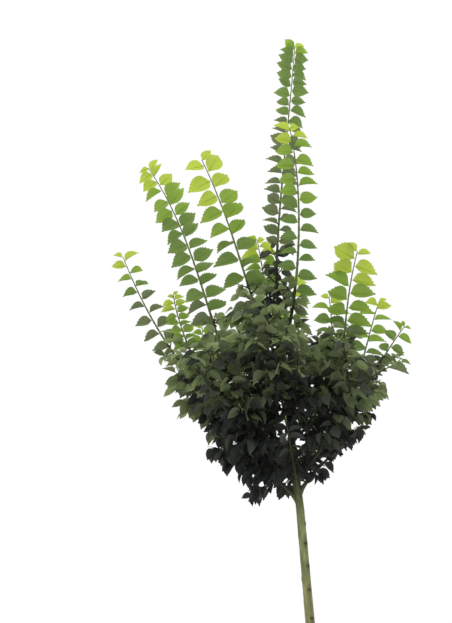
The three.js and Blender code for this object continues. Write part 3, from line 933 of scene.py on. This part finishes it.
BARK = bark_material(
    "trunk_bark", light=(0.365, 0.385, 0.165), dark=(0.09, 0.097, 0.04), stretch=0.16, relief=0.0012,
    other=(0.05, 0.046, 0.028),  # scars, and painted shade on the upper trunk under the crown
)
YOUNG_BARK = bark_material(
    "bough_bark", light=(0.07, 0.076, 0.04), dark=(0.033, 0.036, 0.022), stretch=0.3, relief=0.0006,
    other=(0.12, 0.127, 0.06),  # the older foot of a bough
)
TWIG_BARK = bark_material("twig_bark", (0.06, 0.05, 0.03), (0.03, 0.026, 0.018), 0.5, 0.0003)
SHOOT_BARK = bark_material("shoot_bark", (0.17, 0.23, 0.065), (0.10, 0.135, 0.042), 0.5, 0.0003)
CROWN_STALK = leaf_material("leaf_stalk", (0.13, 0.17, 0.05), (0.14, 0.19, 0.05), STALK_ROUGHNESS)
SHOOT_STALK = leaf_material("shoot_leaf_stalk", (0.34, 0.42, 0.12), (0.38, 0.48, 0.12), STALK_ROUGHNESS)


# Trunk

TRUNK_SIDES = 40
TRUNK_RING = 4
TRUNK_WAVES = ((0.5, 1 / 260, 1.2), (0.35, 1 / 60, 2.5), (0.25, 1 / 16, 6))  # height, per mm, round it
UPPER_PAINTED_SHADE = 0.78  # how much of the bark's other colour the upper trunk has, as painted shade of the crown
UPPER_BELOW_FORK = 90  # where that begins
UPPER_FADE = 220

# Knots, where side shoots were cut from the clean stem. Their widths and heights are over a knot's size.
KNOT_FROM, KNOT_TO = 260, 1940
KNOT_SPACING = 38
KNOT_SPACING_VARIES = (0.7, 1.35)
KNOT_RANK = -0.9  # the way the first row of knots faces
KNOT_STRAY = (-0.45, 0.45)
KNOT_SIZES = (5.5, 9)
KNOT_TALL = 1.1  # over its width
KNOT_BUMP, KNOT_BUMP_WIDTH = 0.55, 1.1
KNOT_PIT, KNOT_PIT_WIDTH = 0.25, 0.4
SCAR_WIDTH = 0.8
SMEAR, SMEAR_WIDTH, SMEAR_TALL = 0.5, 1.1, 2.2  # fainter marks above and below a scar


def knots():
    """(height, angle, size) of each knot"""
    random = Seeded("knots")
    found, height, side = [], KNOT_FROM, 0
    while height < KNOT_TO:
        angle = KNOT_RANK + side * math.pi + random.between(*KNOT_STRAY)
        found.append((height, angle, random.between(*KNOT_SIZES)))
        height += KNOT_SPACING * random.between(*KNOT_SPACING_VARIES)
        side = 1 - side
    return found


def mark(piece, values):
    """How much of its bark's other colour each point of a piece has"""
    attribute = piece.data.attributes.new("knot", "FLOAT", "POINT")
    attribute.data.foreach_set("value", np.asarray(values, np.float32))


def trunk_piece():
    heights = np.arange(0, TRUNK_TOP + 1, TRUNK_RING, dtype=float)
    turn = np.linspace(0, 2 * np.pi, TRUNK_SIDES, endpoint=False)
    h, a = np.meshgrid(heights, turn, indexing="ij")
    radius = np.vectorize(trunk_radius)(h)
    radius *= 1 + FLARE_LOBE * np.cos(FLARE_LOBES * a) * np.exp(-h / FLARE_HEIGHT)
    girth = radius.copy()
    for amplitude, per_mm, per_turn in TRUNK_WAVES:
        wave = [noise.noise(Vector((math.cos(t) * per_turn, math.sin(t) * per_turn, z * per_mm)))
                for z, t in zip(h.ravel(), a.ravel())]
        radius += amplitude * np.array(wave).reshape(h.shape)
    # Painted shade of the crown: the trunk darkens from just below the fork upwards.
    scar_and_shade = UPPER_PAINTED_SHADE * np.clip((h - FORK_HEIGHT + UPPER_BELOW_FORK) / UPPER_FADE, 0, 1)
    for height, angle, size in knots():
        around = girth * ((a - angle + np.pi) % (2 * np.pi) - np.pi)
        away = np.hypot((h - height) / KNOT_TALL, around)
        smeared = np.hypot((h - height) / SMEAR_TALL, around)
        radius += KNOT_BUMP * size * swell(away, KNOT_BUMP_WIDTH * size)
        radius -= KNOT_PIT * size * swell(away, KNOT_PIT_WIDTH * size)
        scar_and_shade = np.maximum(scar_and_shade, swell(away, SCAR_WIDTH * size, 4))
        scar_and_shade = np.maximum(scar_and_shade, SMEAR * swell(smeared, SMEAR_WIDTH * size))
    centre = np.array([trunk_centre(z) for z in heights])
    way = np.stack([np.cos(a), np.sin(a), np.zeros_like(a)], -1)
    points = (centre[:, None] + way * radius[..., None]).reshape(-1, 3)
    mesh = Mesh()
    mesh.add(np.concatenate([points, centre[:1], centre[-1:]]), tube_faces(len(heights), TRUNK_SIDES))
    piece = mesh.made("trunk_with_bark", BARK)
    mark(piece, np.concatenate([scar_and_shade.ravel(), [0, 0]]))
    return piece


# Boughs, shoots and twigs

COLLAR = 0.55  # how much wider a limb is where it leaves the trunk
COLLAR_REACH = 14
OLD_BARK_REACH = 75  # how far out on a bough the older bark goes
BOUGH_SIDES, BOUGH_RING = 12, 7
SHOOT_SIDES, SHOOT_RING = 8, 6
YOUNG_WOOD_FROM = 20  # past the last side twigs
LEADER_RINGS_FROM = -4  # the first still lies on the trunk's top
JOINT, JOINT_WIDTH = 0.28, 4.5  # how much wider a limb is where a leaf stands, and how far along
LIMB_LUMPS = 0.09  # how uneven a limb's skin is, over its radius
LUMPS_PER_MM, LUMPS_ROUND = 0.09, 2
TWIG_SIDES, SPRIG_SIDES = 6, 5
TWIG_RING = 13
TWIG_COLLAR, TWIG_COLLAR_REACH = 0.6, 5


def limb_radii(bough, places):
    """With a collar at the trunk, and a little wider where a leaf stands"""
    radii = np.array([limb_radius(bough, max(0, s)) for s in places])
    if bough["wood"] > 0:
        out_of_trunk = np.maximum(0, places - trunk_radius(bough["start"]))
        radii *= 1 + COLLAR * np.exp(-out_of_trunk / COLLAR_REACH)
    joints = np.arange(bough["bushy"], bough["length"], bough["spacing"])
    return radii * (1 + sum(JOINT * swell(places - joint, JOINT_WIDTH) for joint in joints))


def uneven(points, sides):
    """What the radius at each corner of a limb's rings is multiplied by"""
    turn = np.linspace(0, 2 * np.pi, sides, endpoint=False)
    around = [Vector((math.cos(t), math.sin(t), 0)) * LUMPS_ROUND for t in turn]
    lumps = [[noise.noise(Vector(point) * LUMPS_PER_MM + way) for way in around] for point in points]
    return 1 + LIMB_LUMPS * np.array(lumps)


def bough_meshes():
    """Boughs, young shoots, and how much of the older bark each point of the boughs has"""
    boughs, shoots, older = Mesh(), Mesh(), []
    for bough in BOUGHS:
        line = bough["line"]
        foot = 0 if bough["wood"] > 0 else LEADER_RINGS_FROM
        changes = bough["bushy"] + YOUNG_WOOD_FROM
        for mesh, s0, s1, sides, step in (
            (boughs, foot, changes, BOUGH_SIDES, BOUGH_RING),
            (shoots, changes - 1, line.length, SHOOT_SIDES, SHOOT_RING),
        ):
            points, places = line.stretch(s0, s1, step)
            radii = limb_radii(bough, places)[:, None] * uneven(points, sides)
            mesh.add(*tube(points, radii, sides))
            if mesh is boughs:
                old = swell(places, OLD_BARK_REACH)
                older.append(np.concatenate([np.repeat(old, sides), old[[0, -1]]]))
    return boughs, shoots, np.concatenate(older)


def twig_mesh():
    mesh = Mesh()
    for twig in twigs:
        sides = TWIG_SIDES if twig.radius > SPRIG_RADIUS else SPRIG_SIDES
        points, places = twig.line.stretch(0, twig.line.length, TWIG_RING)
        radii = lerp(twig.radius, twig.tip_radius, places / twig.line.length)
        radii = radii * (1 + TWIG_COLLAR * np.exp(-places / TWIG_COLLAR_REACH))
        mesh.add(*tube(points, radii, sides))
    return mesh


# Pieces

MOST_TRIANGLES = 190000


def names_of(masses):
    return ["foliage_" + BOUGHS[mass]["name"] for mass in sorted(masses)]


def keep(piece, slot, *nodes):
    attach(piece, "root")
    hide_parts(*nodes)


def leaf_pieces(name, chosen, shape, faces_each, skin, slot):
    """One kind of leaf in as few pieces as their size allows, mass by mass"""
    chosen = sorted(chosen, key=lambda leaf: leaf.mass)
    parts = math.ceil(len(chosen) * faces_each / MOST_TRIANGLES)
    for part in range(parts):
        some = chosen[len(chosen) * part // parts : len(chosen) * (part + 1) // parts]
        mesh = Mesh()
        mesh.add(*shape(some))
        piece = mesh.made(name if parts == 1 else f"{name}_{part + 1}", skin)
        keep(piece, slot, *names_of({leaf.mass for leaf in some}))


keep(trunk_piece(), "trunk_bark", "trunk")
bough_mesh, shoot_mesh, older_bark = bough_meshes()
boughs_piece = bough_mesh.made("boughs_with_bark", YOUNG_BARK)
mark(boughs_piece, older_bark)
keep(boughs_piece, "bough_bark", *("bough_" + bough["name"] for bough in BOUGHS if bough["wood"] > 0))
keep(shoot_mesh.made("shoot_stems", SHOOT_BARK), "bough_bark", *names_of(range(len(BOUGHS))))
keep(twig_mesh().made("twigs", TWIG_BARK), "bough_bark", *names_of({twig.mass for twig in twigs}))

for tint, (colour, glow) in LEAF_COLOURS.items():
    young = tint in SHOOT_TINTS
    slot = "shoot_foliage" if young else "crown_foliage"
    roughness = SHOOT_LEAF_ROUGHNESS if young else CROWN_LEAF_ROUGHNESS
    skin = leaf_material("leaf_" + tint, colour, glow, roughness)
    chosen = [leaf for leaf in leaves if leaf.tint == tint]
    leaf_pieces("leaves_" + tint, chosen, blades, len(blade_template(rows_of(tint))[1]), skin, slot)
faces_each = len(tube_faces(len(STALK_PLACES), STALK_SIDES))
on_shoots = [leaf for leaf in leaves if leaf.tint in SHOOT_TINTS]
in_the_crown = [leaf for leaf in leaves if leaf.tint not in SHOOT_TINTS]
leaf_pieces("stalks_of_shoots", on_shoots, stalks, faces_each, SHOOT_STALK, "shoot_foliage")
leaf_pieces("stalks_of_crown", in_the_crown, stalks, faces_each, CROWN_STALK, "crown_foliage")


# Stage, light and camera, in metres

FLOOR_RADIUS = 40
FLOOR_SIDES = 96
FLOOR_HEIGHT = -0.001
ROOM_LIGHT = 1.02
ROOM_FOOT = (0.30, 0.30, 0.31)  # its colour below
ROOM_RISE = (-0.35, 1)  # from the sine of the height where it is darkest to that overhead
ROOM_WHITE = 0.25  # from this share of that rise it is white
LAMP_PLACE = (-0.8, 0.6, 7)
LAMP_TILT = (5, -6, 0)
LAMP_SIZE = 5
LAMP_WATTS = 90
CAMERA_PLACE = Vector((0, -2.8, 1.55))
CAMERA_PITCH, CAMERA_YAW, CAMERA_ROLL = 22.3, -4.7, -3.0
FOCAL_PIXELS, FRAME_HEIGHT = 800, 623
SENSOR = 36


def stage_floor():
    mesh = bpy.data.meshes.new("floor")
    turn = np.linspace(0, 2 * math.pi, FLOOR_SIDES, endpoint=False)
    rim = [(FLOOR_RADIUS * math.cos(t), FLOOR_RADIUS * math.sin(t), FLOOR_HEIGHT) for t in turn]
    mesh.from_pydata(rim, [], [range(FLOOR_SIDES)])
    paint, nodes, links, skin, _ = material("floor_paint")
    grain = node(nodes, "ShaderNodeTexNoise", Scale=3, Detail=3)
    tones = colour_ramp(nodes, (0, (0.51, 0.51, 0.505)), (1, (0.54, 0.54, 0.535)))
    wire(links, (grain, "Fac", tones, "Fac"), (tones, "Color", skin, "Base Color"))
    put(skin, Roughness=0.9)
    mesh.materials.append(paint)
    placed("floor", mesh)


def studio_light():
    """A white room, dimmer from below, with a soft lamp overhead"""
    world = bpy.data.worlds.new("studio")
    bpy.context.scene.world = world
    world.use_nodes = True
    nodes, links = world.node_tree.nodes, world.node_tree.links
    room = put(nodes["Background"], Strength=ROOM_LIGHT)
    place = node(nodes, "ShaderNodeTexCoord")
    split = node(nodes, "ShaderNodeSeparateXYZ")
    height = node(nodes, "ShaderNodeMapRange", From_Min=ROOM_RISE[0], From_Max=ROOM_RISE[1])
    tones = colour_ramp(nodes, (0, ROOM_FOOT), (ROOM_WHITE, (1, 1, 1)))
    wire(
        links,
        (place, "Generated", split, "Vector"),
        (split, "Z", height, "Value"),
        (height, "Result", tones, "Fac"),
        (tones, "Color", room, "Color"),
    )
    light = bpy.data.lights.new("overhead", "AREA")
    light.shape, light.size, light.energy = "SQUARE", LAMP_SIZE, LAMP_WATTS
    lamp = placed("overhead", light)
    lamp.location = LAMP_PLACE
    lamp.rotation_euler = [math.radians(angle) for angle in LAMP_TILT]
    bpy.context.scene.view_settings.view_transform = "Standard"


def aim_camera():
    pitch, yaw, roll = (math.radians(angle) for angle in (CAMERA_PITCH, CAMERA_YAW, CAMERA_ROLL))
    flat = math.cos(pitch)
    forward = Vector((math.sin(yaw) * flat, math.cos(yaw) * flat, math.sin(pitch)))
    level = Vector((math.cos(yaw), -math.sin(yaw), 0))
    above = level.cross(forward)
    right = level * math.cos(roll) + above * math.sin(roll)
    up = above * math.cos(roll) - level * math.sin(roll)
    camera = placed("camera", bpy.data.cameras.new("camera"))
    camera.data.sensor_width = SENSOR
    camera.data.lens = SENSOR * FOCAL_PIXELS / FRAME_HEIGHT
    facing = Matrix((right, up, -forward)).transposed().to_4x4()
    camera.matrix_world = Matrix.Translation(CAMERA_PLACE) @ facing
    bpy.context.scene.camera = camera


stage_floor()
studio_light()
aim_camera()
